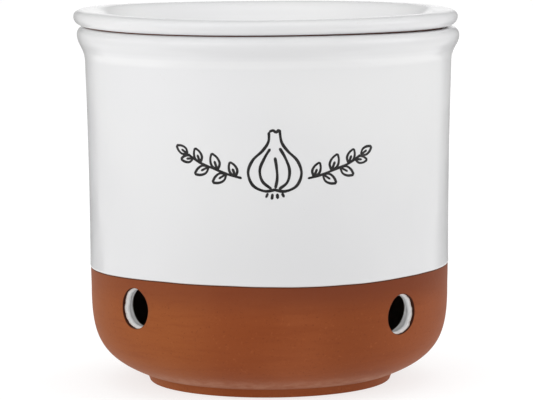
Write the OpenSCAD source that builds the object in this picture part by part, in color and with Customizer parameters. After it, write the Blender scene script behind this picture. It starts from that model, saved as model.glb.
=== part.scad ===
// Garlic keeper: a round vented clay pot with a dish-shaped lid that drops into its mouth.
// Millimetres, +Z up. The origin is on the table, on the pot's axis. The front faces -Y.
// The clay is bare below the glaze line. Above it, inside the pot, in the vents and on the lid
// it carries a fired white glaze, drawn here as coats that lie on the clay face to face.

/* [Pot] */
// Height of the pot, from the table to the top of its glazed rim
pot_h = 121.1; // [100:0.1:180]
// Diameter of the clay where the upright wall turns in to the base
turn_d = 121.8; // [110:0.1:125]
// Height at which the wall starts to turn in to the base
turn_h = 32.3; // [26:0.1:38]
// How far the upright wall spreads from there up to the neck, all round
wall_spread = 1.05; // [0:0.05:4]
// How far the upright wall draws in between the neck and the base
wall_bow = 0.38; // [0:0.02:2]
// Thickness of the clay wall
wall_t = 4.4; // [3:0.1:6]
// Thickness of the clay floor
floor_t = 4.8; // [3:0.1:8]
// Diameter of the flat part of the floor inside
floor_d = 66; // [50:1:72]

/* [Rim] */
// How far the rim flares out past the neck, all round
rim_flare = 2.65; // [0.5:0.05:5]
// Width of the clay rim at its widest place, from the mouth to its outside
rim_w = 4.9; // [4.7:0.1:8]
// Height of the rim, from the neck to the top of the clay
rim_h = 11.2; // [9:0.1:16]
// Width of the outer rounding on top of the rim
crown_w = 2.4; // [1.5:0.1:3]
// Height of the outer rounding on top of the rim
crown_h = 2.4; // [1.5:0.1:4]
// Radius of the rounding at the inner edge of the mouth
mouth_round = 1; // [0.6:0.1:1.2]

/* [Foot] */
// Diameter of the foot where the belly meets it
foot_d = 84.6; // [76:0.1:92]
// Height of the foot
foot_h = 2.9; // [1.5:0.1:4.5]
// How far the foot's side draws in from its top to the table
foot_taper = 1; // [0.2:0.1:2]
// Radius of the foot's rounded lower edges
foot_round = 0.6; // [0.3:0.1:1]
// Width of the flat ring that the pot stands on
foot_ring_w = 4.6; // [3:0.1:10]
// Depth of the hollow inside the foot ring
foot_recess = 1.8; // [0.5:0.1:3]
// Angle at which the belly leaves the foot, above level
belly_angle = 20.3; // [10:0.1:35]

/* [Glaze] */
// Thickness of the fired glaze
glaze_t = 0.3; // [0.2:0.05:0.4]
// Height of the line where the outer glaze ends
glaze_line = 39.6; // [39:0.1:100]

/* [Vents] */
// Diameter of each vent hole in the clay
vent_d = 13.8; // [8:0.1:16]
// Height of the ring of vents
vent_z = 29; // [24:0.1:31]
// How far the hand-cut vents stray up and down, by turns, from that ring
vent_stray = 1.1; // [0:0.1:2]
// Angle between the two vents at the front, and between the two at the back
vent_angle = 93.2; // [60:0.1:110]
// Angle by which the whole set of vents is turned about the pot
vent_turn = -0.6; // [-15:0.1:15]
// Depth of the bare clay that the glaze leaves at each vent's outer mouth
vent_bare = 1; // [0.4:0.1:2]

/* [Lid] */
// How far the lid's glazed lip stands out past the glazed rim, all round
lid_overhang = 0.3; // [0.1:0.1:4]
// Thickness of the glazed lip, from its underside to its crest
lip_t = 5.2; // [4.2:0.1:7]
// Height of the lip's widest place above its underside
lip_belly_h = 2.95; // [1.5:0.05:4]
// Width of the rounding under the lip's widest place
lip_low_w = 3; // [2:0.1:3.2]
// Width of the rounding over the lip's widest place
lip_top_w = 2.4; // [1.5:0.1:4]
// Gap between the lip's underside and the level of the pot's rim
lip_gap = 0.35; // [0.2:0.05:1]
// Depth that the glazed lid reaches into the mouth
lid_drop = 7.1; // [5:0.1:12]
// Thickness of the lid's clay floor
lid_floor_t = 3.8; // [3:0.1:6]
// Diameter of the flat floor in the lid's dish
dish_d = 90; // [80:1:98]
// Clearance between the mouth and the part of the lid that drops in, all round
lid_clearance = 1.4; // [0.8:0.1:2]
// Gap that is left of that clearance on the left, where the lid lies off centre
lid_rest_gap = 0.58; // [0.3:0.02:0.8]
// Width of the bare clay ring that the lid sits on
seat_w = 0.9; // [0.6:0.1:1.1]
// Radius of the rounded lower edge of the part that drops in
drop_round = 2; // [1:0.1:3]
// Radius of the fillet between that part and the lip
drop_fillet = 1.2; // [0.8:0.1:1.4]

/* [Hidden] */
$fn = 180;
CLAY = [0.55, 0.29, 0.17];
WHITE = [0.93, 0.93, 0.92];

// Radii of the clay form
turn_r = turn_d / 2;
neck_r = turn_r + wall_spread;
rim_r = neck_r + rim_flare;
mouth_r = rim_r - rim_w;
foot_r = foot_d / 2;
floor_r = floor_d / 2;
dish_r = dish_d / 2;

// Levels of the clay form
rim_top = pot_h - glaze_t;
neck_z = rim_top - rim_h;
crown_z = rim_top - crown_h;
floor_z = foot_recess + floor_t;

// The flat stretch on top of the rim, between its two roundings. The two coats meet in its
// middle, and the lid's bare ring sits at its inner edge
seat_in = mouth_r + mouth_round;
seat_out = rim_r - crown_w;
coats_meet_r = (seat_in + seat_out) / 2;
ring_out = seat_in + seat_w;

// The lid's levels, all above the glazed rim that it sits on
lid_r = rim_r + glaze_t + lid_overhang;
lid_shift = lid_clearance - lid_rest_gap;
flange_z = pot_h + lip_gap + glaze_t;
lip_z = pot_h + lip_gap + lip_belly_h;
crest_z = pot_h + lip_gap + lip_t - glaze_t;
crest_r = lid_r - lip_top_w;
drop_z = pot_h - lid_drop + glaze_t;
dish_z = drop_z + lid_floor_t;

// Lengths of the handles that shape the curves
belly_handle_low = (turn_r - foot_r) * 0.93;
belly_handle_high = (turn_h - foot_h) * 0.55;
flare_handle_low = (rim_h - crown_h) * 0.5;
flare_handle_high = (rim_h - crown_h) * 0.36;
cove_handle_low = (turn_r - wall_t - floor_r) * 0.64;
cove_handle_high = (turn_h - floor_z) * 0.55;

// How far the vent drills reach inside the wall, which curves in below the vents, and outside it
drill_in = wall_t + vent_d * 0.7;
drill_out = 4;

// ---------- Paths ----------

// Points along an arc with its own width and height, from angle a to angle b
function arc(centre, rx, rz, a, b, steps) =
    [for (i = [0:steps]) centre + [rx * cos(a + (b - a) * i / steps), rz * sin(a + (b - a) * i / steps)]];

// Points along a Bezier curve
function curve(p, q, r, s, steps) =
    [for (i = [0:steps]) let (t = i / steps, u = 1 - t)
        u * u * u * p + 3 * u * u * t * q + 3 * u * t * t * r + t * t * t * s];

// The path without its first point, for joining it to a path that ends there
function after_first(path) = [for (i = [1:len(path) - 1]) path[i]];

function heading(path, i) = (path[i + 1] - path[i]) / norm(path[i + 1] - path[i]);

function right_of(v) = [v.y, -v.x];

// The path moved to its right-hand side by a distance, which is out of the clay
function beside(path, distance) =
    [for (i = [0:len(path) - 1])
        let (a = right_of(heading(path, max(i - 1, 0))), b = right_of(heading(path, min(i, len(path) - 2))))
            path[i] + distance * (a + b) / (1 + a * b)];

// The outline of a coat that lies on the path. A free end is bevelled by the coat's thickness
function coat(path, bevel_start = false, bevel_end = false) =
    let (last = len(path) - 1,
         outer = beside(path, glaze_t),
         start = outer[0] + (bevel_start ? glaze_t : 0) * heading(path, 0),
         end = outer[last] - (bevel_end ? glaze_t : 0) * heading(path, last - 1))
        concat(path, [end], [for (i = [last - 1:-1:1]) outer[i]], [start]);

// ---------- The pot's faces, from the axis under the floor round to the axis inside ----------

wall_rise = neck_z - turn_h;

// Radius of the clay's outside at a height on the upright wall
function wall_r(z) =
    let (t = (z - turn_h) / wall_rise) turn_r + (neck_r - turn_r) * t - wall_bow * 4 * t * (1 - t);

// The upright wall from one height to another, at a depth inside its outer surface
function wall_face(from, to, depth, steps) =
    [for (i = [0:steps]) let (z = from + (to - from) * i / steps) [wall_r(z) - depth, z]];

foot_side_r = foot_r - foot_taper;
ring_in_r = foot_side_r - foot_round - foot_ring_w;

foot_face = concat(
    [[0, foot_recess], [ring_in_r - foot_recess, foot_recess], [ring_in_r, 0]],
    arc([foot_side_r - foot_round, foot_round], foot_round, foot_round, -90, 0, 3));

belly_face = curve(
    [foot_r, foot_h],
    [foot_r, foot_h] + belly_handle_low * [cos(belly_angle), sin(belly_angle)],
    [turn_r, turn_h - belly_handle_high],
    [turn_r, turn_h], 14);

neck_slope = (neck_r - turn_r + 4 * wall_bow) / wall_rise;

rim_outer_face = concat(
    curve([neck_r, neck_z],
          [neck_r + neck_slope * flare_handle_low, neck_z + flare_handle_low],
          [rim_r, crown_z - flare_handle_high],
          [rim_r, crown_z], 8),
    after_first(arc([seat_out, crown_z], crown_w, crown_h, 0, 90, 6)));

rim_inner_face = concat(
    arc([seat_in, rim_top - mouth_round], mouth_round, mouth_round, 90, 180, 4),
    after_first(curve(
        [mouth_r, rim_top - mouth_round],
        [mouth_r, rim_top - mouth_round - flare_handle_high],
        [neck_r - wall_t + neck_slope * flare_handle_low, neck_z + flare_handle_low],
        [neck_r - wall_t, neck_z], 8)));

cove_face = curve(
    [turn_r - wall_t, turn_h],
    [turn_r - wall_t, turn_h - cove_handle_high],
    [floor_r + cove_handle_low, floor_z],
    [floor_r, floor_z], 14);

outer_face = concat(wall_face(glaze_line, neck_z, 0, 8), after_first(rim_outer_face), [[coats_meet_r, rim_top]]);
inner_wall_face = concat(wall_face(neck_z, turn_h, wall_t, 8), after_first(cove_face), [[0, floor_z]]);
inner_face = concat([[coats_meet_r, rim_top]], rim_inner_face, after_first(inner_wall_face));

// ---------- The lid's faces, from the axis underneath round to the axis on top ----------

// Radius of the clay mouth at a height above the neck
function mouth_at(z) = lookup(z, [for (p = rim_inner_face) [p.y, p.x]]);

// The part that drops in is upright. Its clearance is kept at the top of its rounded lower edge,
// because the mouth narrows downwards
drop_r = mouth_at(drop_z + drop_round) - glaze_t - lid_clearance - glaze_t;

under_face = concat(
    [[0, drop_z]],
    arc([drop_r - drop_round, drop_z + drop_round], drop_round, drop_round, -90, 0, 6),
    arc([drop_r + drop_fillet, flange_z - drop_fillet], drop_fillet, drop_fillet, 180, 90, 5),
    [[seat_in, flange_z]]);

seat_ring = [[seat_in, pot_h], [ring_out, pot_h]];

dish_reach = (crest_r - dish_r) / 2;

top_face = concat(
    [[ring_out, flange_z]],
    arc([lid_r - lip_low_w, lip_z], lip_low_w - glaze_t, lip_z - flange_z, -90, 0, 8),
    after_first(arc([crest_r, lip_z], lip_top_w - glaze_t, crest_z - lip_z, 0, 90, 8)),
    after_first(curve([crest_r, crest_z], [crest_r - dish_reach, crest_z],
                      [dish_r + dish_reach, dish_z], [dish_r, dish_z], 14)),
    [[0, dish_z]]);

// ---------- The vents ----------

// Round the pot from the front: front right, back right, back left and front left
vent_azimuths = [vent_angle / 2, 180 - vent_angle / 2, 180 + vent_angle / 2, -vent_angle / 2];

module at_vents() {
    for (i = [0:3])
        rotate([0, 0, vent_azimuths[i] + vent_turn])
            translate([0, 0, vent_z + (i % 2 == 0 ? -vent_stray : vent_stray)])
                rotate([90, 0, 0])
                    children();
}

module vent_drill(d) {
    translate([0, 0, turn_r - drill_in])
        cylinder(d = d, h = drill_in + drill_out, $fn = 64);
}

// ---------- The pieces ----------

module pot_clay() {
    color(CLAY)
        difference() {
            rotate_extrude()
                polygon(concat(foot_face, belly_face, outer_face, after_first(inner_face)));
            at_vents() vent_drill(vent_d);
        }
}

module pot_outer_glaze() {
    color(WHITE)
        rotate_extrude()
            polygon(coat(outer_face, bevel_start = true));
}

module pot_inner_glaze() {
    color(WHITE)
        difference() {
            rotate_extrude()
                polygon(coat(inner_face));
            at_vents() vent_drill(vent_d);
        }
}

// The linings of the vents, from the inner coat to a little short of each outer mouth
module vent_glaze() {
    outside = concat(belly_face, after_first(wall_face(turn_h, neck_z, 0, 8)));
    color(WHITE)
        intersection() {
            rotate_extrude()
                polygon(concat(beside(outside, -vent_bare), beside(inner_wall_face, glaze_t)));
            at_vents()
                difference() {
                    vent_drill(vent_d);
                    vent_drill(vent_d - 2 * glaze_t);
                }
        }
}

module lid_clay() {
    color(CLAY)
        translate([-lid_shift, 0, 0])
            rotate_extrude()
                polygon(concat(under_face, seat_ring, top_face));
}

module lid_top_glaze() {
    color(WHITE)
        translate([-lid_shift, 0, 0])
            rotate_extrude()
                polygon(coat(top_face, bevel_start = true));
}

module lid_under_glaze() {
    color(WHITE)
        translate([-lid_shift, 0, 0])
            rotate_extrude()
                polygon(coat(under_face, bevel_end = true));
}

pot_clay();
pot_outer_glaze();
pot_inner_glaze();
vent_glaze();
lid_clay();
lid_top_glaze();
lid_under_glaze();
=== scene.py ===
"""The looks of the garlic keeper: a half-glazed clay pot with vents and a dish-shaped lid.

Sizes are in millimetres until a mesh is made, and in metres in the materials and on the stage.
Azimuths are in degrees, from the front (-Y) towards +X.
"""
import math

import bmesh
import bpy
import numpy as np
from mathutils import Matrix, Vector


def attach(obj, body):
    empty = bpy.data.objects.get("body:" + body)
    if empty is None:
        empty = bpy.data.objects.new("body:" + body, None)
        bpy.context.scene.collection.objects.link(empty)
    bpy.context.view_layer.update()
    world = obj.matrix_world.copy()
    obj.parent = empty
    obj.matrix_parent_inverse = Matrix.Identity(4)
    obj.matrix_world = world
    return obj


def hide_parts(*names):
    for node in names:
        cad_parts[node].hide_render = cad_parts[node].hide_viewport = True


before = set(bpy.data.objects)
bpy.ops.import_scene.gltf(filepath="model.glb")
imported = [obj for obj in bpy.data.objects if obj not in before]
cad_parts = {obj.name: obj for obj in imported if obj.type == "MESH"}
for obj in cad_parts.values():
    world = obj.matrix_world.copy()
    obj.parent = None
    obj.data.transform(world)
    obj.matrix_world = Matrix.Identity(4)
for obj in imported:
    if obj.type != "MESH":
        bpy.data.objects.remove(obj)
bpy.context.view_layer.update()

MM = 0.001

# ---------- Sizes of the frame's solids ----------

# The pot
POT_H = 121.1
TURN_R = 60.9
TURN_H = 32.3
WALL_SPREAD = 1.05
WALL_BOW = 0.38
WALL_T = 4.4
FLOOR_T = 4.8
FLOOR_R = 33.0
RIM_FLARE = 2.65
RIM_W = 4.9
RIM_H = 11.2
CROWN_W = 2.4
CROWN_H = 2.4
MOUTH_ROUND = 1.0
FOOT_R = 42.3
FOOT_H = 2.9
FOOT_TAPER = 1.0
FOOT_ROUND = 0.6
FOOT_RING_W = 4.6
FOOT_RECESS = 1.8
BELLY_ANGLE = math.radians(20.3)
GLAZE_T = 0.3
GLAZE_LINE = 39.6

# The vents
VENT_R = 6.9
VENT_Z = 29.0
VENT_STRAY = 1.1
VENT_ANGLE = 93.2
VENT_TURN = -0.6
VENT_BARE = 1.0

# The lid
LID_OVERHANG = 0.3
LIP_T = 5.2
LIP_BELLY_H = 2.95
LIP_LOW_W = 3.0
LIP_GAP = 0.35
LID_DROP = 7.1
LID_FLOOR_T = 3.8
DISH_R = 45.0
LID_CLEARANCE = 1.4
LID_REST_GAP = 0.58
SEAT_W = 0.9
DROP_ROUND = 2.0
DROP_FILLET = 1.2

# Worked out from them
NECK_R = TURN_R + WALL_SPREAD
RIM_R = NECK_R + RIM_FLARE
RIM_TOP = POT_H - GLAZE_T
NECK_Z = RIM_TOP - RIM_H
CROWN_Z = RIM_TOP - CROWN_H
FLOOR_Z = FOOT_RECESS + FLOOR_T
MOUTH_R = RIM_R - RIM_W
SEAT_IN = MOUTH_R + MOUTH_ROUND
RING_OUT = SEAT_IN + SEAT_W
SEAT_OUT = RIM_R - CROWN_W
LID_R = RIM_R + GLAZE_T + LID_OVERHANG
LID_SHIFT = LID_CLEARANCE - LID_REST_GAP
FLANGE_Z = POT_H + LIP_GAP + GLAZE_T
LIP_Z = POT_H + LIP_GAP + LIP_BELLY_H
CREST_Z = POT_H + LIP_GAP + LIP_T - GLAZE_T
DROP_Z = POT_H - LID_DROP + GLAZE_T
DISH_Z = DROP_Z + LID_FLOOR_T

# ---------- Paths ----------


def arc(centre, rx, rz, start, end, steps):
    """Part of an ellipse, between two angles from the outward direction."""
    a = np.radians(np.linspace(start, end, steps + 1))
    return np.c_[centre[0] + rx * np.cos(a), centre[1] + rz * np.sin(a)]


def curve(p, q, r, s, steps):
    """A Bezier curve from p to s, with q and r as its handles."""
    t = np.linspace(0, 1, steps + 1)[:, None]
    u = 1 - t
    p, q, r, s = (np.array(v, float) for v in (p, q, r, s))
    return u**3 * p + 3 * u * u * t * q + 3 * u * t * t * r + t**3 * s


def line(p, q, steps):
    return np.linspace(p, q, steps + 1)


def join(*parts):
    """One path of several, without the points that repeat where they meet."""
    points = np.vstack([np.atleast_2d(np.array(part, float)) for part in parts])
    kept = [points[0]]
    for point in points[1:]:
        if np.linalg.norm(point - kept[-1]) > 1e-6:
            kept.append(point)
    return np.array(kept)


def beside(path, distance):
    """The path moved to its right-hand side, which is out of the clay."""
    heading = np.diff(path, axis=0)
    heading /= np.linalg.norm(heading, axis=1)[:, None]
    right = np.c_[heading[:, 1], -heading[:, 0]]
    before = np.vstack([right[:1], right])
    after = np.vstack([right, right[-1:]])
    return path + distance * (before + after) / (1 + (before * after).sum(1))[:, None]


# ---------- The pot's faces ----------


def wall_r(z):
    """Radius of the clay's outside on the upright wall."""
    t = (z - TURN_H) / (NECK_Z - TURN_H)
    return TURN_R + (NECK_R - TURN_R) * t - WALL_BOW * 4 * t * (1 - t)


def wall_face(start, end, depth, steps):
    z = np.linspace(start, end, steps + 1)
    return np.c_[wall_r(z) - depth, z]


NECK_SLOPE = (NECK_R - TURN_R + 4 * WALL_BOW) / (NECK_Z - TURN_H)
FLARE_LOW = (RIM_H - CROWN_H) * 0.5
FLARE_HIGH = (RIM_H - CROWN_H) * 0.36
RIM_MIDDLE = ((SEAT_IN + SEAT_OUT) / 2, RIM_TOP)
FOOT_SIDE_R = FOOT_R - FOOT_TAPER
RING_IN_R = FOOT_SIDE_R - FOOT_ROUND - FOOT_RING_W

# How far the handles of the curves reach, as shares of the space that they have
BELLY_REACH = 0.93
SIDE_REACH = 0.55
COVE_REACH = 0.64

belly_face = curve(
    (FOOT_R, FOOT_H),
    (FOOT_R + (TURN_R - FOOT_R) * BELLY_REACH * math.cos(BELLY_ANGLE),
     FOOT_H + (TURN_R - FOOT_R) * BELLY_REACH * math.sin(BELLY_ANGLE)),
    (TURN_R, TURN_H - (TURN_H - FOOT_H) * SIDE_REACH),
    (TURN_R, TURN_H), 60)

cove_face = curve(
    (TURN_R - WALL_T, TURN_H),
    (TURN_R - WALL_T, TURN_H - (TURN_H - FLOOR_Z) * SIDE_REACH),
    (FLOOR_R + (TURN_R - WALL_T - FLOOR_R) * COVE_REACH, FLOOR_Z),
    (FLOOR_R, FLOOR_Z), 60)

rim_outer_face = join(
    curve((NECK_R, NECK_Z), (NECK_R + NECK_SLOPE * FLARE_LOW, NECK_Z + FLARE_LOW),
          (RIM_R, CROWN_Z - FLARE_HIGH), (RIM_R, CROWN_Z), 14),
    arc((SEAT_OUT, CROWN_Z), CROWN_W, CROWN_H, 0, 90, 10))

rim_inner_face = join(
    arc((SEAT_IN, RIM_TOP - MOUTH_ROUND), MOUTH_ROUND, MOUTH_ROUND, 90, 180, 6),
    curve((MOUTH_R, RIM_TOP - MOUTH_ROUND), (MOUTH_R, RIM_TOP - MOUTH_ROUND - FLARE_HIGH),
          (NECK_R - WALL_T + NECK_SLOPE * FLARE_LOW, NECK_Z + FLARE_LOW),
          (NECK_R - WALL_T, NECK_Z), 12))


def radius_at(path, z):
    """Radius of a path at a height, where the path only rises or only falls."""
    rising = path if path[-1, 1] > path[0, 1] else path[::-1]
    return np.interp(z, rising[:, 1], rising[:, 0])


outer_side = join(belly_face, wall_face(TURN_H, NECK_Z, 0, 60))
inner_side = join(wall_face(NECK_Z, TURN_H, WALL_T, 60), cove_face)
inner_coat_side = beside(inner_side, GLAZE_T)

# ---------- The lid's faces ----------

DROP_R = radius_at(rim_inner_face, DROP_Z + DROP_ROUND) - 2 * GLAZE_T - LID_CLEARANCE

under_face = join(
    line((0, DROP_Z), (DROP_R - DROP_ROUND, DROP_Z), 8),
    arc((DROP_R - DROP_ROUND, DROP_Z + DROP_ROUND), DROP_ROUND, DROP_ROUND, -90, 0, 8),
    arc((DROP_R + DROP_FILLET, FLANGE_Z - DROP_FILLET), DROP_FILLET, DROP_FILLET, 180, 90, 8),
    line((DROP_R + DROP_FILLET, FLANGE_Z), (SEAT_IN, FLANGE_Z), 2))

# The crest lies further in than the solid's and is flatter
CREST_R = LID_R - 4.7
CREST_HANDLE_R = LID_R - 1.9
LIP_REACH = 0.6
DISH_REACH = (CREST_R - DISH_R) / 2

top_face = join(
    [(RING_OUT, FLANGE_Z)],
    arc((LID_R - LIP_LOW_W, LIP_Z), LIP_LOW_W - GLAZE_T, LIP_Z - FLANGE_Z, -90, 0, 14),
    curve((LID_R - GLAZE_T, LIP_Z), (LID_R - GLAZE_T, LIP_Z + (CREST_Z - LIP_Z) * LIP_REACH),
          (CREST_HANDLE_R, CREST_Z), (CREST_R, CREST_Z), 24),
    curve((CREST_R, CREST_Z), (CREST_R - DISH_REACH, CREST_Z),
          (DISH_R + DISH_REACH, DISH_Z), (DISH_R, DISH_Z), 28),
    line((DISH_R, DISH_Z), (0, DISH_Z), 12))

# ---------- Hand-made irregularity ----------

# Each wobble is a sum of waves round the pot or a vent: their number in a turn, height and start
LINE_WAVES = [(1, 0.21, 306), (2, 0.10, 281), (3, 0.16, 164), (4, 0.24, 222), (7, 0.03, 110),
              (12, 0.03, 200), (19, 0.02, 15), (31, 0.012, 75)]
LINE_RISE = 0.62
CUT_WAVES = [(2, 0.10, 20), (3, 0.07, 140), (5, 0.04, 260), (9, 0.02, 80)]
LIP_WAVES = [(2, 0.16, 75), (3, 0.12, 10), (5, 0.09, 230), (8, 0.07, 300), (13, 0.06, 120),
             (21, 0.05, 50)]
TURN_SPREAD = 0.37


def wobble(waves, degrees, turn=0.0):
    """Height of the summed waves at each angle. turn moves every wave by its own amount."""
    total = np.zeros_like(np.asarray(degrees, float))
    for count, height, start in waves:
        moved = start + turn * (1 + TURN_SPREAD * count)
        total = total + height * np.sin(np.radians(count * degrees + moved))
    return total


def glaze_line(azimuth):
    return GLAZE_LINE + LINE_RISE + wobble(LINE_WAVES, azimuth)


# The rim and the lid slope down towards +X and are a little wavy, and the rim sinks most on that side
LEAN = 0.0032
RIM_SINK = 0.28
RIM_WAVES = [(3, 0.12, 12)]


def settle(points, share, sink=0.0):
    """Moves the points up or down as the rim lies. share gives how much of the move a point takes."""
    for point in points:
        x, y, z = point
        move = wobble(RIM_WAVES, math.degrees(math.atan2(x, -y))) * math.hypot(x, y) / RIM_R
        move -= LEAN * x + sink * (max(0.0, x) / RIM_R)**2
        point[2] = z + move * share(z)


def rim_share(z):
    return min(1.0, max(0.0, (z - NECK_Z) / (CROWN_Z - NECK_Z)))


def whole(z):
    return 1.0


# The crest of the lid is lower at the front and the back than at the sides
CREST_DROP = 0.12
CREST_WAVE = 0.30


def bend_crest(points):
    """Lowers the points of the lid's upper side as the crest waves."""
    for point in points:
        share = min(1.0, max(0.0, (point[2] - LIP_Z) / (CREST_Z - LIP_Z)))
        azimuth = math.atan2(point[0], -point[1])
        point[2] -= share * (CREST_DROP + CREST_WAVE * math.cos(2 * azimuth))


# The clay swells a little up to the glaze line, so that the coat's edge hardly stands out of it
LINE_SWELL = 0.16
SWELL_HEIGHTS = (GLAZE_LINE - 8, GLAZE_LINE - 0.2, GLAZE_LINE + 1.6, GLAZE_LINE + 4.4)
SWELL_DEPTH = 1.0


def swell(points):
    """Moves the points on and just under the clay's outside outwards near the glaze line."""
    for point in points:
        x, y, z = point
        rise = np.interp(z, SWELL_HEIGHTS, (0, 1, 1, 0))
        radius = math.hypot(x, y)
        if rise > 0:
            near = min(1.0, 1 - (radius_at(outer_side, z) - radius) / SWELL_DEPTH)
            if near > 0:
                scale = 1 + LINE_SWELL * near * rise * rise * (3 - 2 * rise) / radius
                point[0], point[1] = x * scale, y * scale


# ---------- Meshes ----------

COLUMNS = 360
WINDOW_HALF = 10
WINDOW_LOW, WINDOW_HIGH = 18.6, 37.8
WINDOW_ROWS = 20
BELOW_WINDOW, ABOVE_WINDOW = WINDOW_LOW - 0.3, WINDOW_HIGH + 0.3
PATCH_STEPS = (0.82, 0.66, 0.52, 0.40, 0.30, 0.21, 0.13, 0.07, 0.03)
SHARP_ANGLE = math.radians(38)


class Mesh:
    """Collects points, faces and one painted value per point, and makes a Blender object of them."""

    def __init__(self, name):
        self.name = name
        self.points, self.faces, self.paint = [], [], []

    def add(self, points, paint=0.0):
        start = len(self.points)
        self.points.extend(np.atleast_2d(points).tolist())
        self.paint.extend(np.broadcast_to(paint, len(self.points) - start).tolist())
        return list(range(start, len(self.points)))

    def strip(self, a, b, closed=True):
        """Quads between two rows of points. A row of one point is a pole."""
        count = max(len(a), len(b))
        for i in range(count if closed else count - 1):
            j = (i + 1) % count
            corners = [a[i % len(a)], a[j % len(a)], b[j % len(b)], b[i % len(b)]]
            self.faces.append(list(dict.fromkeys(corners)))

    def make(self, body, material, replaced=()):
        """Makes the object, with all its faces looking out, and lets it ride on the body."""
        data = bpy.data.meshes.new(self.name)
        data.from_pydata([(x * MM, y * MM, z * MM) for x, y, z in self.points], [], self.faces)
        layer = data.attributes.new("paint", "FLOAT", "POINT")
        layer.data.foreach_set("value", np.array(self.paint, np.float32))
        mesh = bmesh.new()
        mesh.from_mesh(data)
        bmesh.ops.recalc_face_normals(mesh, faces=mesh.faces)
        if mesh.calc_volume(signed=True) < 0:
            bmesh.ops.reverse_faces(mesh, faces=mesh.faces)
        mesh.to_mesh(data)
        mesh.free()
        data.shade_smooth()
        data.set_sharp_from_angle(angle=SHARP_ANGLE)
        data.materials.append(material)
        piece = bpy.data.objects.new(self.name, data)
        bpy.context.scene.collection.objects.link(piece)
        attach(piece, body)
        if replaced:
            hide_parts(*replaced)
        return piece


def around(radius, height, azimuths):
    """Points round the axis. Radius and height may be single values or one per azimuth."""
    a = np.radians(azimuths)
    return np.c_[radius * np.sin(a), -radius * np.cos(a), np.broadcast_to(height, a.shape)]


COLUMN_AZIMUTHS = np.arange(COLUMNS) * 360.0 / COLUMNS

# The vents' own wobbles differ by a turn
WOBBLE_TURN = 57.0
VENTS = [
    {"azimuth": VENT_TURN + azimuth,
     "z": VENT_Z + (-VENT_STRAY if i % 2 == 0 else VENT_STRAY),
     "turn": WOBBLE_TURN * i}
    for i, azimuth in enumerate((VENT_ANGLE / 2, 180 - VENT_ANGLE / 2,
                                 180 + VENT_ANGLE / 2, -VENT_ANGLE / 2))
]
CUT_ROUND = 0.2
VENT_NARROWED = 0.18
VENT_OVAL = 0.28
INNER_ROUND = 0.5
BORE_STEPS = 6


def window_columns(vent):
    middle = round(vent["azimuth"])
    return [(middle + i) % COLUMNS for i in range(-WINDOW_HALF, WINDOW_HALF + 1)]


def add_rows(mesh, path, shift=0.0, paint=None, lift=None):
    """A row of points for each point of the path. lift moves each point of the row up its wall."""
    rows = []
    for i, (r, z) in enumerate(path):
        value = 0.0 if paint is None else paint[i]
        if r < 1e-6:
            row = mesh.add([[0, 0, z]], value)
        else:
            height = z if lift is None else z + lift[i]
            row = mesh.add(around(r, height, COLUMN_AZIMUTHS), value)
        rows.append(row)
    if shift:
        for row in rows:
            for i in row:
                mesh.points[i][0] -= shift
    return rows


def skin(mesh, rows, windows=(), closed=False):
    """Quads between the rows, leaving out each window: (first row, last row, columns)."""
    left_out = {}
    for first, last, columns in windows:
        for row in range(first, last):
            left_out.setdefault(row, set()).update(columns[:-1])
    pairs = list(zip(range(len(rows)), range(1, len(rows))))
    if closed:
        pairs.append((len(rows) - 1, 0))
    for i, j in pairs:
        a, b = rows[i], rows[j]
        if len(a) == 1 or len(b) == 1:
            mesh.strip(a, b)
            continue
        for k in range(COLUMNS):
            if k in left_out.get(i, ()):
                continue
            n = (k + 1) % COLUMNS
            mesh.faces.append([a[k], a[n], b[n], b[k]])


def border(mesh, rows, first, last, columns):
    """The points round a window, from its lower left corner anticlockwise, seen from outside."""
    upwards = rows[first:last + 1]
    if mesh.points[upwards[-1][0]][2] < mesh.points[upwards[0][0]][2]:
        upwards = upwards[::-1]
    bottom = [upwards[0][c] for c in columns]
    right = [row[columns[-1]] for row in upwards[1:]]
    top = [upwards[-1][c] for c in columns[-2::-1]]
    left = [row[columns[0]] for row in upwards[-2:0:-1]]
    return bottom + right + top + left


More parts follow.
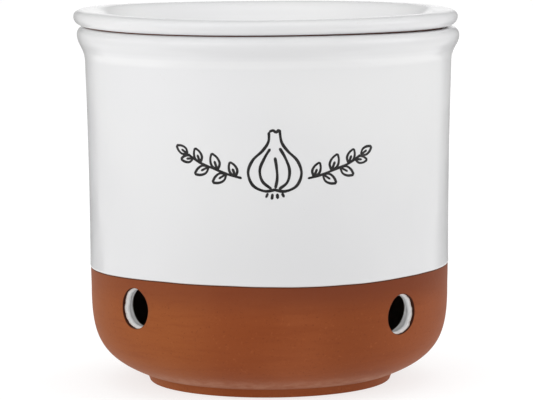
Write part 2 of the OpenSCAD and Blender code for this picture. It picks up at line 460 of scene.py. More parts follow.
class Vent:
    """Works in a vent's own frame: x across the bore, y out along it and z up."""

    def __init__(self, vent, mesh):
        self.mesh = mesh
        self.z, self.turn = vent["z"], vent["turn"]
        a = math.radians(vent["azimuth"])
        self.out = np.array([math.sin(a), -math.cos(a)])
        self.across = np.array([math.cos(a), math.sin(a)])

    def local(self, indices):
        points = np.array([self.mesh.points[i] for i in indices])
        return np.c_[points[:, :2] @ self.across, points[:, :2] @ self.out, points[:, 2]]

    def add(self, x, y, z, paint=0.0):
        x, y, z = np.broadcast_arrays(x, y, z)
        return self.mesh.add(np.c_[np.outer(x, self.across) + np.outer(y, self.out), z], paint)

    def aim(self, edge):
        """Takes the directions from the bore's axis to the points of a window's edge."""
        points = self.local(edge)
        self.angle = np.arctan2(points[:, 2] - self.z, points[:, 0])
        self.cut = (VENT_R - VENT_NARROWED - VENT_OVAL * np.cos(self.angle)**2
                    + wobble(CUT_WAVES, np.degrees(self.angle), self.turn))

    def ring(self, inset):
        """x and z of a ring that lies inside the cut by inset."""
        radius = self.cut - inset
        return radius * np.cos(self.angle), self.z + radius * np.sin(self.angle)

    def depth(self, side, x, z):
        """y of a face of the wall."""
        return np.sqrt(np.maximum(radius_at(side, z)**2 - x**2, 0))

    def patch(self, edge, side, inset, paint=0.0):
        """Rings on a face of the wall, from a window's edge to a ring, with that ring last."""
        points = self.local(edge)
        x0, z0 = self.ring(inset)
        rings = []
        for step in PATCH_STEPS:
            x = x0 + (points[:, 0] - x0) * step
            z = z0 + (points[:, 2] - z0) * step
            rings.append(self.add(x, self.depth(side, x, z), z))
        rings.append(self.add(x0, self.depth(side, x0, z0), z0, paint))
        return rings

    def inner_end(self, edge):
        """Rings over the rounded inner end of the bore, and on to the edge of the inner window."""
        rings = []
        for a in np.radians((30, 60)):
            x, z = self.ring(-INNER_ROUND * (1 - math.cos(a)))
            rings.append(self.add(x, self.depth(inner_side, x, z) + INNER_ROUND * (1 - math.sin(a)), z))
        return rings + self.patch(edge, inner_side, -INNER_ROUND)[::-1] + [edge]

    def join(self, rings):
        for a, b in zip(rings, rings[1:]):
            self.mesh.strip(a, b)


def window_path(side, rises):
    """The rows of the windows on a face of the wall, upwards or downwards."""
    z = np.linspace(WINDOW_LOW, WINDOW_HIGH, WINDOW_ROWS + 1)
    path = np.c_[radius_at(side, z), z]
    return path if rises else path[::-1]


# Distances under the glaze line of the clay's rows there, and how dark each is painted
LINE_ROWS = [(0.95, 0.0), (0.6, 0.06), (0.38, 0.35), (0.22, 0.9), (0.0, 1.0)]
# How dark the rounded edge of each vent's cut is painted; deeper in the bore it is painted fully dark,
# partly as painted shade
CUT_PAINT = 0.25
RECESS_ROUND = 0.4
RING_ROUND = 0.3
# The foot's side ends just inside the belly's lower edge
FOOT_TOP = (FOOT_R - 0.04, FOOT_H - 0.12)


def pot_body(material):
    """The clay pot, with its vents cut through."""
    mesh = Mesh("pot_body")
    recess_r = RING_IN_R - FOOT_RECESS - RECESS_ROUND
    foot = join(
        [(0, FOOT_RECESS)], line((10, FOOT_RECESS), (recess_r, FOOT_RECESS), 4),
        arc((recess_r, FOOT_RECESS - RECESS_ROUND), RECESS_ROUND, RECESS_ROUND, 90, 45, 2),
        arc((RING_IN_R + RING_ROUND, RING_ROUND), RING_ROUND, RING_ROUND, 225, 270, 3),
        line((RING_IN_R + RING_ROUND, 0), (FOOT_SIDE_R - FOOT_ROUND, 0), 4),
        arc((FOOT_SIDE_R - FOOT_ROUND, FOOT_ROUND), FOOT_ROUND, FOOT_ROUND, -90, 0, 6),
        line((FOOT_SIDE_R, FOOT_ROUND), FOOT_TOP, 3))
    low = belly_face[belly_face[:, 1] < BELOW_WINDOW]
    outer_window = window_path(outer_side, True)
    line_path = np.array([(wall_r(GLAZE_LINE - drop), GLAZE_LINE - drop) for drop, _ in LINE_ROWS])
    hidden = join(wall_face(GLAZE_LINE + 4, NECK_Z, 0, 12), rim_outer_face, [RIM_MIDDLE], rim_inner_face)
    inner_window = window_path(inner_side, False)
    inner_up = inner_side[inner_side[:, 1] > ABOVE_WINDOW]
    inner_low = inner_side[inner_side[:, 1] < BELOW_WINDOW]
    # The rows of the wall are thinned out where the face is plain
    inner_up, inner_low = inner_up[1::3], inner_low[::2]
    path = np.vstack([foot, low, outer_window, line_path, hidden, inner_up, inner_window,
                      inner_low, line((FLOOR_R, FLOOR_Z), (0, FLOOR_Z), 6)[1:]])
    outer_first = len(foot) + len(low)
    outer_last = outer_first + WINDOW_ROWS
    first_line = outer_first + len(outer_window)
    inner_first = first_line + len(line_path) + len(hidden) + len(inner_up)
    inner_last = inner_first + WINDOW_ROWS
    paint = np.zeros(len(path))
    paint[first_line:first_line + len(LINE_ROWS)] = [dark for _, dark in LINE_ROWS]
    lift = [0.0] * len(path)
    for i in range(first_line, first_line + len(LINE_ROWS)):
        lift[i] = glaze_line(COLUMN_AZIMUTHS) - GLAZE_LINE
    rows = add_rows(mesh, path, paint=paint, lift=lift)

    windows = []
    for vent in VENTS:
        columns = window_columns(vent)
        windows += [(outer_first, outer_last, columns), (inner_first, inner_last, columns)]
        hole = Vent(vent, mesh)
        edge_out = border(mesh, rows, outer_first, outer_last, columns)
        edge_in = border(mesh, rows, inner_first, inner_last, columns)
        hole.aim(edge_out)
        # The cut's rounded edge and the bore are painted darker the deeper they go, partly as painted
        # shade
        rings = [edge_out] + hole.patch(edge_out, outer_side, -CUT_ROUND, paint=CUT_PAINT)
        for a in np.radians((22, 45, 68, 90)):
            x, z = hole.ring(-CUT_ROUND * (1 - math.sin(a)))
            rings.append(hole.add(x, hole.depth(outer_side, x, z) - CUT_ROUND * (1 - math.cos(a)), z,
                                  paint=CUT_PAINT + (1 - CUT_PAINT) * math.sin(a)))
        x, z = hole.ring(0)
        near = hole.depth(outer_side, x, z) - CUT_ROUND
        far = hole.depth(inner_side, x, z) + INNER_ROUND
        for step in np.linspace(0, 1, BORE_STEPS + 1)[1:]:
            rings.append(hole.add(x, near + (far - near) * step, z, paint=1.0))
        hole.join(rings + hole.inner_end(edge_in))
    skin(mesh, rows, windows)
    swell(mesh.points)
    settle(mesh.points, rim_share, RIM_SINK)
    return mesh.make("pot", material, ["pot_clay"])


# The glaze's rolled edge: how far it stands out of the clay, and how far above the line
EDGE_ROLL = [(0.0, 0.0), (0.13, -0.06), (0.24, -0.04), (0.30, 0.06), (0.33, 0.22), (0.34, 0.45),
             (0.335, 0.8), (0.32, 1.4), (0.31, 2.3), (0.30, 3.6)]
EDGE_TINT_H = 0.3
LINE_FOLLOWED = 0.75
# The coat in a vent: its rounded inner end, its sleeve and the lip at the outer end of the sleeve
COAT_ROUND = 0.8
SLEEVE_STEPS = 8
SLEEVE_RIPPLE = 0.05
SLEEVE_OVERLAP = 0.15
LIP_SWELL = 0.35
LIP_ROLL = 1.6
BARE_MIN, BARE_MAX = 0.35, 1.9


def pot_glaze(material):
    """The pot's white coat in one piece: outside, over the rim, inside, and out through each vent."""
    mesh = Mesh("pot_glaze")
    roll = np.array([(wall_r(GLAZE_LINE + up) + out, GLAZE_LINE + up) for out, up in EDGE_ROLL])
    wall_start = GLAZE_LINE + EDGE_ROLL[-1][1]
    outside = join(wall_face(wall_start, NECK_Z, 0, 44), rim_outer_face, [RIM_MIDDLE])
    inside_up = join([RIM_MIDDLE], rim_inner_face, inner_side)
    inside_up = inside_up[inside_up[:, 1] > ABOVE_WINDOW]
    floor = line((FLOOR_R, FLOOR_Z), (0, FLOOR_Z), 8)
    front_high = beside(join(outside, inside_up), GLAZE_T)[1:]
    front_window = window_path(inner_coat_side, False)
    front_low = join(inner_coat_side[inner_coat_side[:, 1] < BELOW_WINDOW],
                     floor[1:] + (0, GLAZE_T))
    back_window = window_path(inner_side, True)
    back_low = join(floor[::-1], inner_side[inner_side[:, 1] < BELOW_WINDOW][::-1])
    back_high = join(inside_up[::-1], outside[::-1])[:-1]
    # The hidden rows are thinned out
    back_high = np.vstack([back_high[::2], back_high[-1:]])
    path = np.vstack([roll, front_high, front_window, front_low, back_low, back_window, back_high])
    lift = [0.0] * len(path)
    paint = np.zeros(len(path))
    offset = glaze_line(COLUMN_AZIMUTHS) - GLAZE_LINE
    for i, (_, up) in enumerate(EDGE_ROLL):
        lift[i] = offset * (1 - LINE_FOLLOWED * max(up, 0) / EDGE_ROLL[-1][1])
        paint[i] = max(0.0, 1 - max(up, 0) / EDGE_TINT_H)
    rows = add_rows(mesh, path, paint=paint, lift=lift)

    front_first = len(roll) + len(front_high)
    front_last = front_first + WINDOW_ROWS
    back_first = front_first + len(front_window) + len(front_low) + len(back_low)
    back_last = back_first + WINDOW_ROWS
    windows = []
    for vent in VENTS:
        columns = window_columns(vent)
        windows += [(front_first, front_last, columns), (back_first, back_last, columns)]
        hole = Vent(vent, mesh)
        edge_front = border(mesh, rows, front_first, front_last, columns)
        edge_back = border(mesh, rows, back_first, back_last, columns)
        hole.aim(edge_front)
        degrees = np.degrees(hole.angle)
        bare = np.clip(VENT_BARE + wobble(LIP_WAVES, degrees, vent["turn"]), BARE_MIN, BARE_MAX)
        rings = [edge_front] + hole.patch(edge_front, inner_coat_side, GLAZE_T - COAT_ROUND)
        for a in np.radians((25, 50, 75)):
            x, z = hole.ring(GLAZE_T - COAT_ROUND * (1 - math.sin(a)))
            y = hole.depth(inner_coat_side, x, z) + COAT_ROUND * (1 - math.cos(a))
            rings.append(hole.add(x, y, z))
        x0, z0 = hole.ring(GLAZE_T)
        start = hole.depth(inner_coat_side, x0, z0) + COAT_ROUND
        lip = hole.depth(outer_side, x0, z0) - bare
        ripple = SLEEVE_RIPPLE * wobble(LIP_WAVES, degrees, vent["turn"] + 90)
        for step in np.linspace(0, 1, SLEEVE_STEPS + 1)[:-1]:
            x, z = hole.ring(GLAZE_T + LIP_SWELL * step**3 + ripple * step)
            rings.append(hole.add(x, start + (lip - LIP_ROLL - start) * step, z))
        thick = GLAZE_T + LIP_SWELL + ripple
        for a in np.radians((0, 12, 24, 36, 48, 60, 70, 80, 90)):
            x, z = hole.ring(thick * math.cos(a))
            rings.append(hole.add(x, lip - LIP_ROLL + LIP_ROLL * math.sin(a), z,
                                  paint=max(0.0, 2 * math.sin(a) - 1.2)))
        x, z = hole.ring(0)
        back_start = lip - SLEEVE_OVERLAP
        back_end = hole.depth(inner_side, x, z) + INNER_ROUND
        for step in np.linspace(0, 1, BORE_STEPS + 1):
            rings.append(hole.add(x, back_start + (back_end - back_start) * step, z))
        hole.join(rings + hole.inner_end(edge_back))
    skin(mesh, rows, windows, closed=True)
    settle(mesh.points, rim_share, RIM_SINK)
    return mesh.make("pot", material, ["pot_outer_glaze", "pot_inner_glaze", "vent_glaze"])


RING_EDGE = 0.12


def lid_body(material):
    """The lid's clay, which shows in the bare ring that it sits on."""
    mesh = Mesh("lid_body")
    edge_z = POT_H + RING_EDGE
    ring = join(line((SEAT_IN, FLANGE_Z), (SEAT_IN, edge_z), 2),
                arc((SEAT_IN + RING_EDGE, edge_z), RING_EDGE, RING_EDGE, 180, 270, 3),
                arc((RING_OUT - RING_EDGE, edge_z), RING_EDGE, RING_EDGE, 270, 360, 3),
                line((RING_OUT, edge_z), (RING_OUT, FLANGE_Z), 2))
    rows = add_rows(mesh, join(under_face, ring, top_face), shift=LID_SHIFT)
    skin(mesh, rows)
    bend_crest(mesh.points)
    settle(mesh.points, whole)
    return mesh.make("lid", material, ["lid_clay"])


def coat_path(front, face):
    """A coat's outline: its front, and back along the clay's face with every second row left out."""
    back = face[::-1]
    return join(front, back[:1], back[1::2], face[:1])


# How far the coats' edges end before the bare ring
TOP_EDGE_SHARE = 0.6
UNDER_EDGE_GAP = 0.25


def lid_top_coat(material):
    """The white coat over the lid's lip, crest and dish."""
    mesh = Mesh("lid_top_coat")
    front = beside(top_face, GLAZE_T)
    front[0] = front[1] + (front[0] - front[1]) * TOP_EDGE_SHARE
    front[-1, 0] = 0
    rows = add_rows(mesh, coat_path(front, top_face), shift=LID_SHIFT)
    skin(mesh, rows, closed=True)
    bend_crest(mesh.points)
    settle(mesh.points, whole)
    return mesh.make("lid", material, ["lid_top_glaze"])


def lid_under_coat(material):
    """The white coat on the underside, as far as the bare ring."""
    mesh = Mesh("lid_under_coat")
    front = beside(under_face, GLAZE_T)
    front[0, 0] = 0
    front[-1] = front[-1] - (UNDER_EDGE_GAP, 0)
    rows = add_rows(mesh, coat_path(front, under_face), shift=LID_SHIFT)
    skin(mesh, rows)
    settle(mesh.points, whole)
    return mesh.make("lid", material, ["lid_under_glaze"])


# ---------- The motif: a bulb between two sprigs ----------

MOTIF_Z = 80.0
MOTIF_ACROSS = 2.0
STROKE_W = 0.98
SPRIG_STROKE_W = STROKE_W * 0.86
STROKE_LIFT = 0.07
STROKE_SINK = 0.05
# A stroke's cross-section: share of its half width, and height over the glaze
STROKE_SECTION = [(1, -STROKE_SINK), (0.93, STROKE_LIFT * 0.6), (0.7, STROKE_LIFT),
                  (-0.7, STROKE_LIFT), (-0.93, STROKE_LIFT * 0.6), (-1, -STROKE_SINK)]

# The bulb's strokes, across and up from the middle of the motif
BULB = [
    [(0.4, -8.3), (-3.4, -8.8), (-7.2, -6.9), (-8.7, -2.8),
     (-7.2, 1.2), (-4.0, 4.3), (-2.1, 7.2), (-1.9, 10.4)],
    [(-0.3, -8.4), (3.3, -8.9), (7.0, -7.2), (8.6, -3.2),
     (7.3, 0.9), (4.2, 4.1), (2.2, 7.0), (1.5, 11.2)],
    [(-1.1, -8.2), (-4.1, -5.6), (-4.9, -1.9), (-3.4, 1.9), (-1.5, 5.0)],
    [(1.2, -8.3), (4.0, -5.9), (4.7, -2.1), (3.4, 1.8), (1.5, 5.2)],
    [(0.1, -8.0), (0.7, -4.6), (0.5, -1.2), (0.0, 2.2)],
    [(-1.9, 10.4), (-0.6, 10.9), (0.4, 10.3), (1.5, 11.2)],
    [(-2.3, -9.4), (-3.0, -11.0)],
    [(-0.8, -9.6), (-1.1, -11.6)],
    [(0.7, -9.6), (0.8, -11.4)],
    [(2.2, -9.4), (2.9, -10.9)],
]
SPRIG_STEM = [(10.6, -4.9), (15.0, -3.9), (20.0, -2.2), (25.0, -0.4), (29.2, 2.1)]
# Leaves of a sprig: share of the way along the stem, side, length and angle off the stem
LEAVES = [(0.10, 1, 5.2, 58), (0.26, -1, 5.6, 54), (0.42, 1, 5.9, 52), (0.58, -1, 5.6, 50),
          (0.74, 1, 5.2, 47), (0.88, -1, 4.6, 42), (1.0, 1, 4.9, 4)]
LEAF_BULGE = 0.27
LEAF_CURL = -0.3
RIB_SHARE = 0.55


def smooth_path(points, step=0.35):
    """A smooth curve through the points, at even distances."""
    p = np.array(points, float)
    p = np.vstack([2 * p[0] - p[1], p, 2 * p[-1] - p[-2]])
    parts = []
    for a, b, c, d in zip(p, p[1:], p[2:], p[3:]):
        t = np.linspace(0, 1, 17)[:-1, None]
        parts.append(0.5 * (2 * b + (c - a) * t + (2 * a - 5 * b + 4 * c - d) * t**2
                            + (3 * b - a - 3 * c + d) * t**3))
    dense = np.vstack(parts + [p[-2:-1]])
    run = np.r_[0, np.cumsum(np.linalg.norm(np.diff(dense, axis=0), axis=1))]
    even = np.linspace(0, run[-1], max(4, round(run[-1] / step)) + 1)
    return np.c_[np.interp(even, run, dense[:, 0]), np.interp(even, run, dense[:, 1])]


def leaf_strokes(base, angle, length, curl):
    """A leaf's two sides and its rib, from its base."""
    along = np.array([math.cos(angle), math.sin(angle)])
    aside = np.array([-along[1], along[0]])
    tip = base + along * length + aside * curl
    sides = []
    for side in (1, -1):
        bulge = side * LEAF_BULGE * length
        sides.append([base, base + along * length * 0.32 + aside * (bulge * 0.86 + curl * 0.2),
                      base + along * length * 0.68 + aside * (bulge * 0.74 + curl * 0.5), tip])
    rib = [base, base + (tip - base) * RIB_SHARE * 0.5, base + (tip - base) * RIB_SHARE]
    return sides + [rib]


def sprig(side, tilt):
    """The strokes of a sprig on one side of the bulb. side is 1 on the right and -1 on the left."""
    stem = smooth_path(SPRIG_STEM)
    strokes = [stem]
    heading = np.gradient(stem, axis=0)
    for share, way, length, off in LEAVES:
        i = min(round(share * (len(stem) - 1)), len(stem) - 1)
        angle = math.atan2(heading[i][1], heading[i][0]) + way * math.radians(off)
        strokes += leaf_strokes(stem[i], angle, length, LEAF_CURL * way)
    turn = math.radians(tilt)
    rotation = np.array([[math.cos(turn), math.sin(turn)], [-math.sin(turn), math.cos(turn)]])
    return [(np.array(stroke) @ rotation) * (side, 1) for stroke in strokes]


def add_stroke(mesh, points, width):
    """A round-ended ribbon of paint that lies on the glaze."""
    path = smooth_path(points)
    run = np.r_[0, np.cumsum(np.linalg.norm(np.diff(path, axis=0), axis=1))]
    from_end = np.minimum(run, run[-1] - run) / (width / 2)
    uneven = 1 + 0.10 * np.sin(run * 0.9 + points[0][0])
    half = width / 2 * uneven * np.sqrt(np.clip(1 - (1 - np.clip(from_end, 0.03, 1))**2, 0, 1))
    heading = np.gradient(path, axis=0)
    heading /= np.linalg.norm(heading, axis=1)[:, None]
    aside = np.c_[-heading[:, 1], heading[:, 0]]
    loops = []
    for share, lift in STROKE_SECTION:
        spots = path + aside * (half * share)[:, None]
        z = MOTIF_Z + spots[:, 1]
        r = wall_r(z) + GLAZE_T + lift
        azimuth = np.degrees((MOTIF_ACROSS + spots[:, 0]) / (wall_r(z) + GLAZE_T))
        loops.append(mesh.add(around(r, z, azimuth)))
    rings = [list(ring) for ring in zip(*loops)]
    for a, b in zip(rings, rings[1:]):
        mesh.strip(a, b)
    mesh.faces += [rings[0], rings[-1][::-1]]


def motif(material):
    """The drawing on the front."""
    mesh = Mesh("front_motif")
    for points in BULB:
        add_stroke(mesh, points, STROKE_W)
    for side, tilt in ((1, 0), (-1, 1.5)):
        for points in sprig(side, tilt):
            add_stroke(mesh, points, SPRIG_STROKE_W)
    return mesh.make("pot", material)


# ---------- Materials ----------


class Nodes:
    """A material's node tree, with short calls for what the materials here share."""

    def __init__(self, name):
        self.material = bpy.data.materials.new(name)
        self.material.use_nodes = True
        self.tree = self.material.node_tree
        self.tree.nodes.clear()
        output = self.tree.nodes.new("ShaderNodeOutputMaterial")
        self.shader = self.tree.nodes.new("ShaderNodeBsdfPrincipled")
        self.link(self.shader.outputs["BSDF"], output.inputs["Surface"])
        self.place = self.tree.nodes.new("ShaderNodeTexCoord").outputs["Object"]

    def link(self, a, b):
        self.tree.links.new(a, b)

    def put(self, socket, value):
        if isinstance(value, bpy.types.NodeSocket):
            self.link(value, socket)
        else:
            socket.default_value = value

    def noise(self, per_metre, detail=3.0, roughness=0.55, stretch=(1, 1, 1)):
        scaled = self.tree.nodes.new("ShaderNodeMapping")
        scaled.inputs["Scale"].default_value = stretch
        self.link(self.place, scaled.inputs["Vector"])
        texture = self.tree.nodes.new("ShaderNodeTexNoise")
        texture.inputs["Scale"].default_value = per_metre
        texture.inputs["Detail"].default_value = detail
        texture.inputs["Roughness"].default_value = roughness
        self.link(scaled.outputs["Vector"], texture.inputs["Vector"])
        return texture.outputs["Fac"]

    def band(self, value, low, high, to_low=0.0, to_high=1.0):
        """The value's way from low to high, smoothed, as a number from to_low to to_high."""
        node = self.tree.nodes.new("ShaderNodeMapRange")
        node.interpolation_type = "SMOOTHSTEP"
        self.put(node.inputs["Value"], value)
        for name, number in (("From Min", low), ("From Max", high),
                             ("To Min", to_low), ("To Max", to_high)):
            node.inputs[name].default_value = number
        return node.outputs["Result"]

    def between(self, value, low, low_full, high_full, high):
        """1 from low_full to high_full, falling to 0 at low and at high."""
        return self.math("MULTIPLY", self.band(value, low, low_full), self.band(value, high, high_full))

    def math(self, operation, a, b=0.0):
        node = self.tree.nodes.new("ShaderNodeMath")
        node.operation = operation
        self.put(node.inputs[0], a)
        self.put(node.inputs[1], b)
        return node.outputs["Value"]

    def mix(self, amount, a, b):
        node = self.tree.nodes.new("ShaderNodeMix")
        node.data_type = "RGBA"
        self.put(node.inputs["Factor"], amount)
        self.put(node.inputs["A"], (*a, 1.0) if isinstance(a, tuple) else a)
        self.put(node.inputs["B"], (*b, 1.0) if isinstance(b, tuple) else b)
        return node.outputs["Result"]

    def axis(self, name):
        """A coordinate in the shared frame, in metres. Z is the height above the table."""
        node = self.tree.nodes.new("ShaderNodeSeparateXYZ")
        self.link(self.place, node.inputs["Vector"])
        return node.outputs[name]

    def paint(self):
        node = self.tree.nodes.new("ShaderNodeAttribute")
        node.attribute_name = "paint"
        return node.outputs["Fac"]

    def bump(self, height, strength, distance, below=None):
        node = self.tree.nodes.new("ShaderNodeBump")
        node.inputs["Strength"].default_value = strength
        node.inputs["Distance"].default_value = distance
        self.put(node.inputs["Height"], height)
        if below is not None:
            self.link(below, node.inputs["Normal"])
        return node.outputs["Normal"]

    def plain(self, colour):
        """A matt material of one colour, for what isn't part of the object."""
        self.shader.inputs["Base Color"].default_value = (*colour, 1.0)
        self.shader.inputs["Roughness"].default_value = 1.0
        self.shader.inputs["Specular IOR Level"].default_value = 0.0
        return self.material

    def finish(self, colour, roughness, normal, specular, **sockets):
        self.put(self.shader.inputs["Base Color"], colour)
        self.put(self.shader.inputs["Roughness"], roughness)
        self.link(normal, self.shader.inputs["Normal"])
        self.shader.inputs["Specular IOR Level"].default_value = specular
        for name, value in sockets.items():
            self.shader.inputs[name.replace("_", " ")].default_value = value
        return self.material


def srgb(red, green, blue):
    """A colour given as screen values from 0 to 255, as linear light."""
    return tuple(v / 255 / 12.92 if v <= 10 else ((v / 255 + 0.055) / 1.055)**2.4
                 for v in (red, green, blue))


CLAY_BROWN, CLAY_ORANGE = srgb(131, 65, 32), srgb(138, 72, 39)
# A lighter tone for the painted light on the left, and a darker one for the painted shade on the right
# of the front
CLAY_LIT_LEFT, CLAY_SHADE_RIGHT = srgb(145, 80, 40), srgb(129, 65, 33)
CLAY_STREAK, CLAY_GRAIN, CLAY_PIT = srgb(122, 58, 29), srgb(162, 95, 60), srgb(92, 40, 20)
# The clay's darker tone near the glaze, and a copy of it lightened by painted light for the left
CLAY_NEAR_GLAZE, CLAY_NEAR_GLAZE_LIT = srgb(114, 57, 35), srgb(126, 66, 40)
# A dark tone for the vents' bores, partly painted shade and partly clay the kiln darkened, and for the
# thin line under the glaze
# A light tone for chalky smudges and a painted highlight just above the foot
CLAY_CHALK_AND_HIGHLIGHT, CLAY_DARKENED = srgb(165, 112, 85), srgb(62, 28, 16)
# Where the tones of the clay begin and end
# The first gives where the painted light on the left begins and ends, the next where the painted shade
# on the right of the front does
LIT_LEFT_X = (-0.010, -0.037)
SHADE_RIGHT_X = (0.010, 0.026, 0.028, 0.052)
NEAR_GLAZE_Z = (0.0275, 0.0392)
CHALK_AND_HIGHLIGHT_Z = (0.0028, 0.0036, 0.0045, 0.0085)

# The third tone is darker, for painted shade low on the wall
GLAZE_WARM, GLAZE_COOL, GLAZE_LOW_SHADE = srgb(230, 230, 230), srgb(227, 227, 228), srgb(212, 212, 213)
# Tones for the painted shade in the neck's hollow and the painted highlight on the shoulder below
GLAZE_HOLLOW_SHADE, GLAZE_SHOULDER_HIGHLIGHT = srgb(208, 208, 209), srgb(240, 240, 240)
# The second tone is whiter than the coat, for painted light in the vents
GLAZE_PINHOLE, GLAZE_SLEEVE_LIT, GLAZE_EDGE = srgb(206, 200, 192), srgb(250, 250, 250), srgb(150, 118, 96)
# Darker tones for the painted shade inside the pot, the second for low down
GLAZE_INSIDE_SHADE, GLAZE_DEEP_SHADE = srgb(206, 203, 199), srgb(112, 96, 86)
# Where the tones of the glaze begin and end
LOW_SHADE_Z = (0.118, 0.036)
HOLLOW_SHADE_Z = (0.1138, 0.1149, 0.1176, 0.1190)
SHOULDER_HIGHLIGHT_Z = (0.1098, 0.1115, 0.1126, 0.1138)
SLEEVE_LIT_Z, SLEEVE_LIT_R = (0.0375, 0.0370), (0.0565, 0.0571)
INSIDE_SHADE_Z, INSIDE_SHADE_R = (0.1172, 0.1160), (0.0573, 0.0565)
DEEP_SHADE_Z = (0.060, 0.042)
COVE_Z, COVE_SLOPE = 0.030, 0.22


def terracotta():
    n = Nodes("bare_terracotta")
    tone = n.mix(n.band(n.noise(26, 2), 0.35, 0.65), CLAY_BROWN, CLAY_ORANGE)
    # Painted light makes it a little lighter and warmer on the left, and painted shade darkens a patch
    # on the right of the front
    lit_left = n.band(n.axis("X"), *LIT_LEFT_X, 0, 0.7)
    tone = n.mix(lit_left, tone, CLAY_LIT_LEFT)
    tone = n.mix(n.between(n.axis("X"), *SHADE_RIGHT_X), tone, CLAY_SHADE_RIGHT)
    streaks = n.noise(60, 3, 0.6, stretch=(1, 1, 9))
    tone = n.mix(n.band(streaks, 0.45, 0.75, 0, 0.35), tone, CLAY_STREAK)
    grain = n.noise(900, 4, 0.65)
    tone = n.mix(n.band(grain, 0.56, 0.74, 0, 0.30), tone, CLAY_GRAIN)
    tone = n.mix(n.band(n.noise(1500, 2), 0.62, 0.74, 0, 0.45), tone, CLAY_PIT)
    # It is darker near the glaze, more in some places than in others, and on the left this darker band
    # takes the painted light as well
    patches = n.band(n.noise(11, 2), 0.3, 0.7, 0.5, 1.0)
    near_glaze = n.math("MULTIPLY", n.band(n.axis("Z"), *NEAR_GLAZE_Z), patches)
    tone = n.mix(near_glaze, tone, n.mix(lit_left, CLAY_NEAR_GLAZE, CLAY_NEAR_GLAZE_LIT))
    # It is lighter in places just above the foot: chalky smudges, and partly a painted highlight where
    # the belly meets the foot
    smudges_and_highlight = n.band(n.noise(160, 4, 0.7, stretch=(1, 1, 2)), 0.35, 0.7, 0.15, 0.7)
    tone = n.mix(n.math("MULTIPLY", n.between(n.axis("Z"), *CHALK_AND_HIGHLIGHT_Z), smudges_and_highlight), tone, CLAY_CHALK_AND_HIGHLIGHT)
    # Painted darker where the mesh's paint is high: in the vents' bores, partly painted shade and partly
    # clay the kiln darkened, and in a thin line just under the glaze
    tone = n.mix(n.band(n.paint(), 0, 1), tone, CLAY_DARKENED)
    fine = n.bump(grain, 0.25, 0.00012)
    turned = n.noise(9, 2, 0.5, stretch=(1, 1, 60))
    normal = n.bump(turned, 0.12, 0.0003, below=fine)
    n.shader.inputs["Sheen Tint"].default_value = (1.0, 0.85, 0.75, 1.0)
    return n.finish(tone, n.band(grain, 0.3, 0.7, 0.78, 0.92), normal, 0.12,
                    Sheen_Weight=0.12, Sheen_Roughness=0.4)


def white_glaze():
    n = Nodes("white_glaze")
    x, y, z = n.axis("X"), n.axis("Y"), n.axis("Z")
    radius = n.math("SQRT", n.math("ADD", n.math("POWER", x, 2.0), n.math("POWER", y, 2.0)))
    tone = n.mix(n.band(n.noise(18, 2), 0.35, 0.65), GLAZE_WARM, GLAZE_COOL)
    # Painted shade: the coat darkens towards the bottom
    tone = n.mix(n.band(z, *LOW_SHADE_Z, 0, 0.8), tone, GLAZE_LOW_SHADE)
    # Painted shade darkens it a little in the neck's hollow, and a painted highlight lightens the wall's
    # shoulder below
    tone = n.mix(n.math("MULTIPLY", n.between(z, *HOLLOW_SHADE_Z), 0.17), tone, GLAZE_HOLLOW_SHADE)
    tone = n.mix(n.math("MULTIPLY", n.between(z, *SHOULDER_HIGHLIGHT_Z), 0.42), tone, GLAZE_SHOULDER_HIGHLIGHT)
    tone = n.mix(n.band(n.noise(1100, 1, 0.4), 0.77, 0.81, 0, 0.2), tone, GLAZE_PINHOLE)
    # The coat in the vents is painted whiter, as painted light, and the inside is painted darker, as
    # painted shade, most of all low down
    cove = n.math("MULTIPLY", n.math("MAXIMUM", n.math("SUBTRACT", COVE_Z, z), 0.0), COVE_SLOPE)
    from_wall = n.math("ADD", radius, cove)
    sleeve_light = n.math("MULTIPLY", n.band(z, *SLEEVE_LIT_Z), n.band(from_wall, *SLEEVE_LIT_R))
    tone = n.mix(sleeve_light, tone, GLAZE_SLEEVE_LIT)
    # Painted shade over the inside of the pot, darker low down
    inside = n.math("MULTIPLY", n.band(from_wall, *INSIDE_SHADE_R), n.band(z, *INSIDE_SHADE_Z))
    tone = n.mix(inside, tone, n.mix(n.band(z, *DEEP_SHADE_Z), GLAZE_INSIDE_SHADE, GLAZE_DEEP_SHADE))
    tone = n.mix(n.band(n.paint(), 0, 1, 0, 0.6), tone, GLAZE_EDGE)
    normal = n.bump(n.noise(220, 2, 0.5), 0.05, 0.0002)
    return n.finish(tone, n.band(n.noise(90, 2), 0.3, 0.7, 0.16, 0.24), normal, 0.5)


def black_print():
    n = Nodes("black_print")
    tone = n.mix(n.band(n.noise(500, 3), 0.35, 0.7), srgb(26, 25, 26), srgb(46, 44, 44))
    normal = n.bump(n.noise(700, 2), 0.08, 0.0001)
    return n.finish(tone, n.band(n.noise(300, 2), 0.3, 0.7, 0.35, 0.5), normal, 0.4)


# ---------- Camera, floor and light ----------

CAMERA_DISTANCE = 1.1
CAMERA_HEIGHT = 0.1874
CAMERA_PITCH = 6.54
CAMERA_ROLL = 0.34
IMAGE_WIDTH = 533
FOCAL_PIXELS = 3238.66
SHIFT_PIXELS = 2.5
SENSOR_WIDTH = 36.0


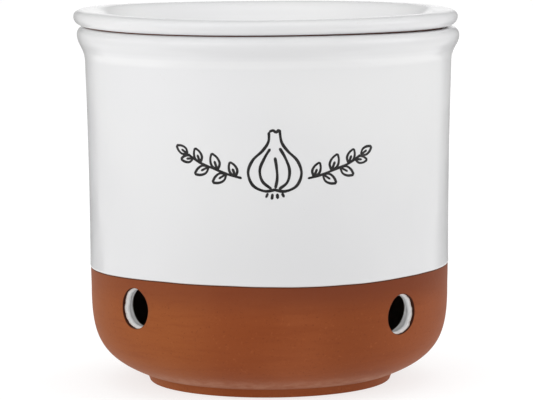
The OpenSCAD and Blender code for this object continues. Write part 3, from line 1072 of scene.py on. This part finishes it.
def add_camera():
    data = bpy.data.cameras.new("camera")
    data.sensor_width = SENSOR_WIDTH
    data.lens = FOCAL_PIXELS * SENSOR_WIDTH / IMAGE_WIDTH
    data.shift_x = -SHIFT_PIXELS / IMAGE_WIDTH
    data.clip_start, data.clip_end = 0.05, 50
    camera = bpy.data.objects.new("camera", data)
    pitch = Matrix.Rotation(math.radians(90 - CAMERA_PITCH), 4, "X")
    roll = Matrix.Rotation(math.radians(-CAMERA_ROLL), 4, "Z")
    camera.matrix_world = Matrix.Translation((0, -CAMERA_DISTANCE, CAMERA_HEIGHT)) @ pitch @ roll
    bpy.context.scene.collection.objects.link(camera)
    bpy.context.scene.camera = camera


FLOOR_HALF = 6.0
BACKDROP_Y = 2.7
BACKDROP_H = 2.2
SWEEP_R = 0.5
SWEEP_STEPS = 12
# The sheet's glow beside the pot and behind it, and its glow further out, with the distances between
GLOW_NEAR = 0.729
GLOW_FAR = 0.2
GLOW_FADE = (0.28, 0.55)


def add_floor():
    """A pale sheet that glows a little, as a light table does, and sweeps up behind the pot."""
    bend = np.radians(np.linspace(0, 90, SWEEP_STEPS + 1))
    profile = [(-FLOOR_HALF, 0.0)]
    profile += [(BACKDROP_Y - SWEEP_R + SWEEP_R * math.sin(a), SWEEP_R - SWEEP_R * math.cos(a))
                for a in bend]
    profile.append((BACKDROP_Y, BACKDROP_H))
    count = len(profile)
    data = bpy.data.meshes.new("floor")
    data.from_pydata([(x, y, z) for x in (-FLOOR_HALF, FLOOR_HALF) for y, z in profile], [],
                     [(i, count + i, count + i + 1, i + 1) for i in range(count - 1)])
    data.shade_smooth()
    n = Nodes("floor")
    tone = n.mix(n.band(n.noise(3, 2), 0.3, 0.7), srgb(150, 150, 150), srgb(154, 154, 154))
    material = n.finish(tone, 0.9, n.bump(n.noise(400, 2), 0.02, 0.0002), 0.1)
    n.shader.inputs["Emission Color"].default_value = (1, 1, 1, 1)
    spread = n.math("MAXIMUM", n.math("ABSOLUTE", n.axis("X")), n.math("MULTIPLY", n.axis("Y"), -1.0))
    n.put(n.shader.inputs["Emission Strength"], n.band(spread, *GLOW_FADE, GLOW_NEAR, GLOW_FAR))
    data.materials.append(material)
    floor = bpy.data.objects.new("floor", data)
    bpy.context.scene.collection.objects.link(floor)


POT_CENTRE = (0, 0, 0.065)
# Each soft light: place, what it points at, width, height, power and whether reflections show it
LIGHTS = {
    "left": ((-1.5, -0.35, 0.55), POT_CENTRE, 1.2, 1.1, 6.7, False),
    "right": ((1.5, -0.35, 0.55), POT_CENTRE, 1.2, 1.1, 5.2, True),
    "front_left": ((-1.15, -1.15, 0.75), POT_CENTRE, 1.1, 1.2, 3.1, True),
    "front_right": ((1.15, -1.15, 0.75), POT_CENTRE, 1.1, 1.2, 1.0, False),
    "front": ((0, -1.7, 0.9), POT_CENTRE, 1.4, 1.0, 4.2, False),
    "top": ((0, 0, 1.7), (0, 0, 0), 1.8, 1.8, 7.3, False),
    "back": ((0, 1.4, 1.2), (0, 1.2, 0), 2.4, 1.2, 5.8, False),
    "back_right": ((1.3, 1.0, 0.7), POT_CENTRE, 1.0, 1.2, 5.7, False),
}
WORLD_LIGHT = 0.6

# Dark cards that only reflections see, as black flags stand round glossy ware: behind on the left and
# on the right, in front, and high up behind for the line of the lid's crest. Each has its distance from
# the axis, its shade, the azimuth where it ends, and its rows, with the height and the azimuth where
# each begins
CARD_TOP = 0.6
CARDS = [
    (0.30, 0.12, -160, [(0.0, -118.5), (0.009, -121.0), (0.0165, -124.5), (0.027, -130.0),
                        (CARD_TOP, -130.4)]),
    (0.30, 0.12, 160, [(0.0, 121.5), (0.009, 123.5), (0.0165, 125.0), (0.027, 127.5), (0.06, 130.2),
                       (CARD_TOP, 130.2)]),
    (0.42, 0.3, -5, [(0.0, 13), (CARD_TOP, 13)]),
    (0.50, 0.1, 255, [(0.24, 105), (1.4, 105)]),
]
CARD_STEPS = 8
# A dark sheet on the table in front of the pot, which only reflections see either
SHEET_NEAR, SHEET_FAR = -0.12, -0.46
SHEET_HALF = 0.30
SHEET_Z = 0.003
SHEET_SHADE = 0.1


def add_card(points, faces, shade):
    """A piece of the stage that is seen in reflections alone."""
    data = bpy.data.meshes.new("card")
    data.from_pydata(points, [], faces)
    data.materials.append(Nodes("card").plain((shade, shade, shade)))
    card = bpy.data.objects.new("card", data)
    card.visible_camera = card.visible_diffuse = card.visible_shadow = card.visible_transmission = False
    bpy.context.scene.collection.objects.link(card)


def add_cards():
    add_card([(x, y, SHEET_Z) for x, y in ((-SHEET_HALF, SHEET_FAR), (SHEET_HALF, SHEET_FAR),
                                           (SHEET_HALF, SHEET_NEAR), (-SHEET_HALF, SHEET_NEAR))],
             [(0, 1, 2, 3)], SHEET_SHADE)
    for distance, shade, end, edge in CARDS:
        points = np.vstack([around(distance, height, np.linspace(start, end, CARD_STEPS + 1))
                            for height, start in edge])
        wide = CARD_STEPS + 1
        add_card(points.tolist(),
                 [(row * wide + i, row * wide + i + 1, (row + 1) * wide + i + 1, (row + 1) * wide + i)
                  for row in range(len(edge) - 1) for i in range(CARD_STEPS)], shade)


def add_lights():
    for name, (place, target, width, height, power, glossy) in LIGHTS.items():
        data = bpy.data.lights.new(name, "AREA")
        data.shape, data.size, data.size_y, data.energy = "RECTANGLE", width, height, power
        light = bpy.data.objects.new(name, data)
        light.location = place
        light.visible_glossy = glossy
        light.rotation_mode = "QUATERNION"
        light.rotation_quaternion = (Vector(target) - Vector(place)).to_track_quat("-Z", "Y")
        bpy.context.scene.collection.objects.link(light)
    world = bpy.data.worlds.new("studio")
    world.use_nodes = True
    world.node_tree.nodes["Background"].inputs["Color"].default_value = (1, 1, 1, 1)
    world.node_tree.nodes["Background"].inputs["Strength"].default_value = WORLD_LIGHT
    bpy.context.scene.world = world
    bpy.context.scene.view_settings.view_transform = "Standard"


add_camera()
add_floor()
add_cards()
add_lights()
clay = terracotta()
glaze = white_glaze()
pot_body(clay)
pot_glaze(glaze)
lid_body(clay)
lid_top_coat(glaze)
lid_under_coat(glaze)
motif(black_print())
